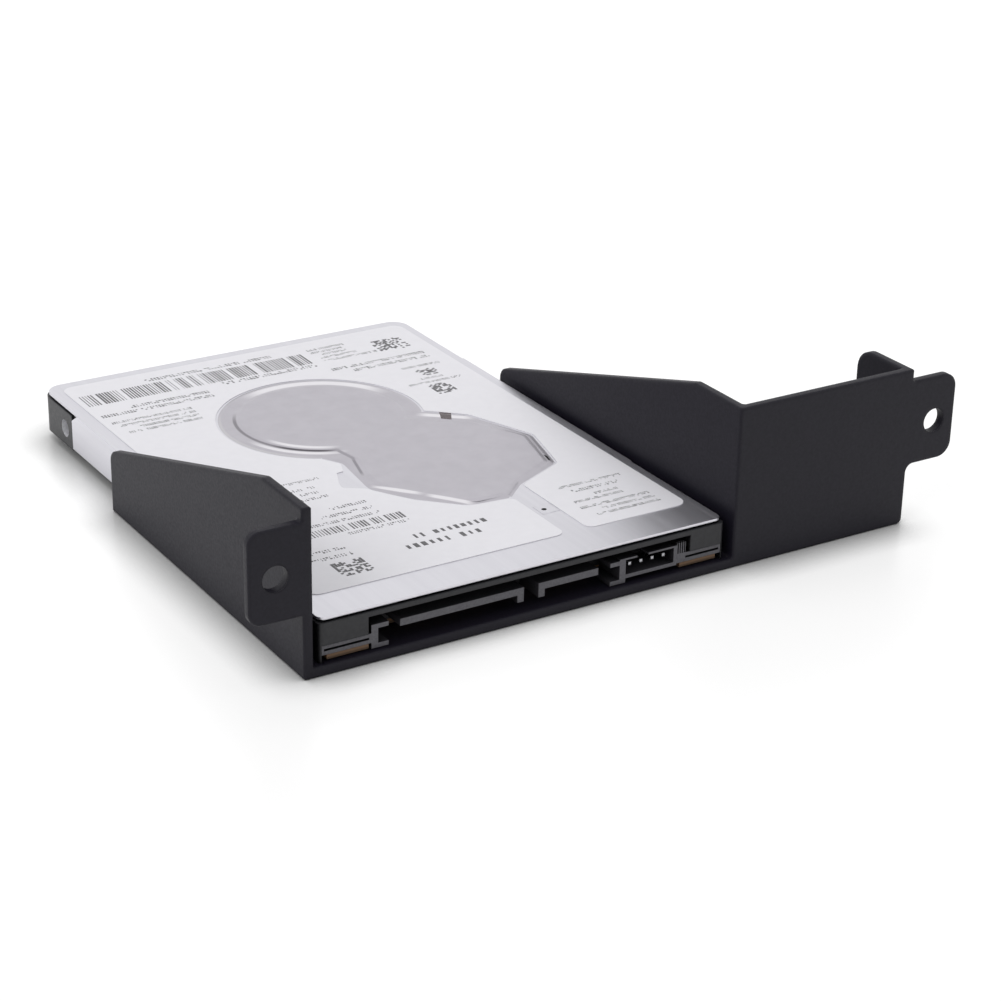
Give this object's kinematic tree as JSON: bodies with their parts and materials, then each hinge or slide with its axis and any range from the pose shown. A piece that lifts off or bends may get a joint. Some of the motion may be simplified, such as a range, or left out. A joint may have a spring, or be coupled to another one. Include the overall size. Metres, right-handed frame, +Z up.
{
  "type": "ssd holder",
  "caption": "U-shaped holder for a 2.5 inch drive, with sloping side walls, a fixing tab, a front panel with a fixing ear, and a thin drive screwed in.",
  "frame": {"origin": "middle of the holder's floor, on its underside", "axes": "+X towards the front panel and its ear, +Y towards the drive's rear end, +Z up from the floor"},
  "size_m": [0.1247, 0.1011, 0.0263],
  "materials": {
    "holder_black": "matt, very fine texture",
    "screw_black": "satin",
    "base_casting": "satin, cast",
    "cover_metal": "satin",
    "gasket_rubber": "matt",
    "screw_steel": "satin",
    "label_paper": "satin",
    "board_green": "satin",
    "chip_black": "matt",
    "connector_grey": "matt",
    "contact_gold": "polished",
    "coil_copper": "satin",
    "arm_aluminium": "satin",
    "disc_mirror": "mirror",
    "yoke_nickel": "plated",
    "magnet_grey": "plated",
    "ramp_plastic": "matt",
    "filter_fabric": "matt",
    "flex_amber": "satin"
  },
  "bodies": {
    "holder": {"holder_bracket": "holder_black", "holder_screws": "screw_black", "drive_base": "base_casting", "drive_cover": "cover_metal", "cover_gasket": "gasket_rubber", "cover_label": "label_paper", "circuit_board": "board_green", "board_chips": "chip_black", "sata_connector": "connector_grey", "power_contacts": "contact_gold", "signal_contacts": "contact_gold", "jumper_pins": "contact_gold", "spindle_shaft": "screw_steel", "motor_stator": "coil_copper", "pivot_post": "screw_steel", "lower_yoke": "yoke_nickel", "upper_yoke": "yoke_nickel", "coil_magnets": "magnet_grey", "parking_ramp": "ramp_plastic", "air_filter": "filter_fabric", "flex_header": "ramp_plastic", "flex_cable": "flex_amber"},
    "platter_stack": {"spindle_hub": "arm_aluminium", "rotor_magnet": "magnet_grey", "platter": "disc_mirror", "disc_clamp": "arm_aluminium"},
    "head_stack": {"pivot_sleeve": "screw_steel", "head_arms": "arm_aluminium", "voice_coil": "coil_copper", "suspensions": "screw_steel", "head_sliders": "chip_black"}
  },
  "joints": [
    {"name": "platter_spin", "type": "hinge", "parent": "holder", "child": "platter_stack", "pos_m": [0, 0.0331, 0.0058], "axis": [0, 0, 1], "continuous": true},
    {"name": "head_swing", "type": "hinge", "parent": "holder", "child": "head_stack", "pos_m": [0.0125, -0.0052, 0.0058], "axis": [0, 0, 1], "range_deg": [-35, 0]}
  ]
}
